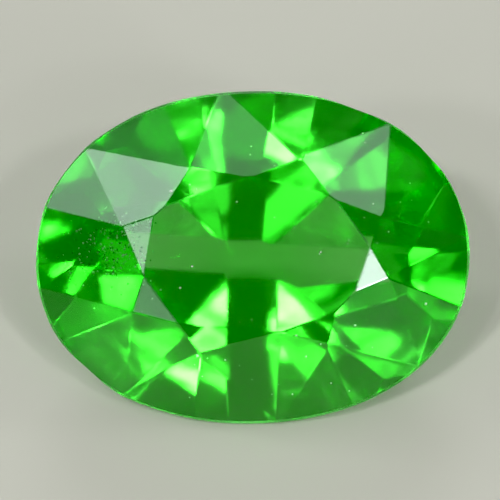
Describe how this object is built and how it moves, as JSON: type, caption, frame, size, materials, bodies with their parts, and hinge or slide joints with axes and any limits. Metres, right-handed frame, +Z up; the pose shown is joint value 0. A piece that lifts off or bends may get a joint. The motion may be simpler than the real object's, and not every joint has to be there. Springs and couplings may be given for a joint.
{
  "type": "oval cut tsavorite garnet",
  "caption": "Loose oval faceted green garnet with a flat table, kite and star crown facets, a thin girdle and a shallow pavilion with a short keel, lying on a pavilion facet.",
  "frame": {"origin": "on the surface the stone lies on, under the centre of its bounding box", "axes": "+Z up, +X along the stone's length; the table faces -Y and up"},
  "size_m": [0.006, 0.0036, 0.003],
  "materials": {
    "tsavorite": "polished"
  },
  "bodies": {
    "root": {"garnet": "tsavorite"}
  },
  "joints": []
}
